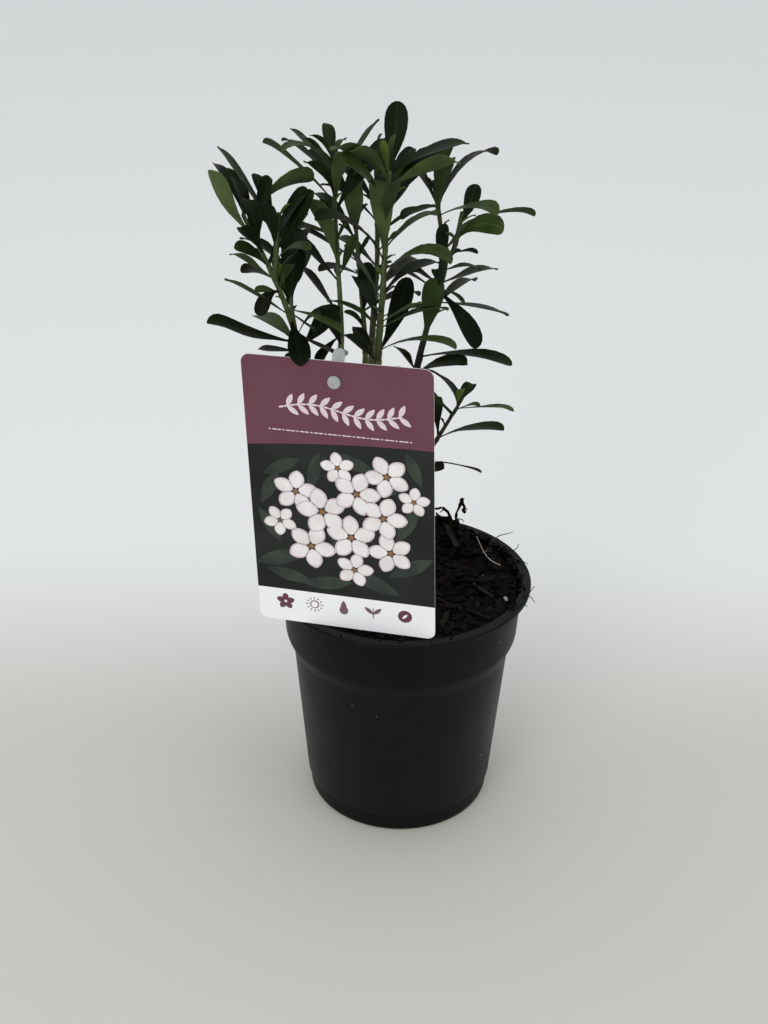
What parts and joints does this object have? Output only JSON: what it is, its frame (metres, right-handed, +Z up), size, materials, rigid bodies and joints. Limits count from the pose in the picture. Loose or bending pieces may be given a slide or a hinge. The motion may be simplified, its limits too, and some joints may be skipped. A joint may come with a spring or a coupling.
{
  "type": "potted daphne shrub",
  "caption": "Young evergreen daphne shrub with narrow glossy leaves on upright shoots, growing in a round black nursery pot, with a plain label card tied in front.",
  "frame": {"origin": "centre of the pot's flat underside, on the surface that it stands on", "axes": "+Z up along the pot's axis; -Y is the front, towards which the label card faces; +X is to the right seen from the front"},
  "size_m": [0.1469, 0.1302, 0.3549],
  "materials": {
    "pot": "satin",
    "soil": "matte",
    "bark": "matte",
    "foliage": "satin",
    "label": "satin",
    "tie": "gloss"
  },
  "bodies": {
    "root": {"pot": "pot", "soil": "soil", "trunk": "bark", "bough_left": "bark", "bough_centre": "bark", "bough_right": "bark", "bough_back": "bark", "bough_centre_left": "bark", "bough_centre_back": "bark", "bough_low_right": "bark", "bough_back_left": "bark", "bough_low_right_back": "bark", "bough_low_left": "bark", "foliage_left": "foliage", "foliage_centre": "foliage", "foliage_right": "foliage", "foliage_back": "foliage", "foliage_centre_left": "foliage", "foliage_centre_back": "foliage", "foliage_low_right": "foliage", "foliage_back_left": "foliage", "foliage_low_right_back": "foliage", "foliage_low_left": "foliage", "label_card": "label", "label_tie": "tie"}
  },
  "joints": []
}
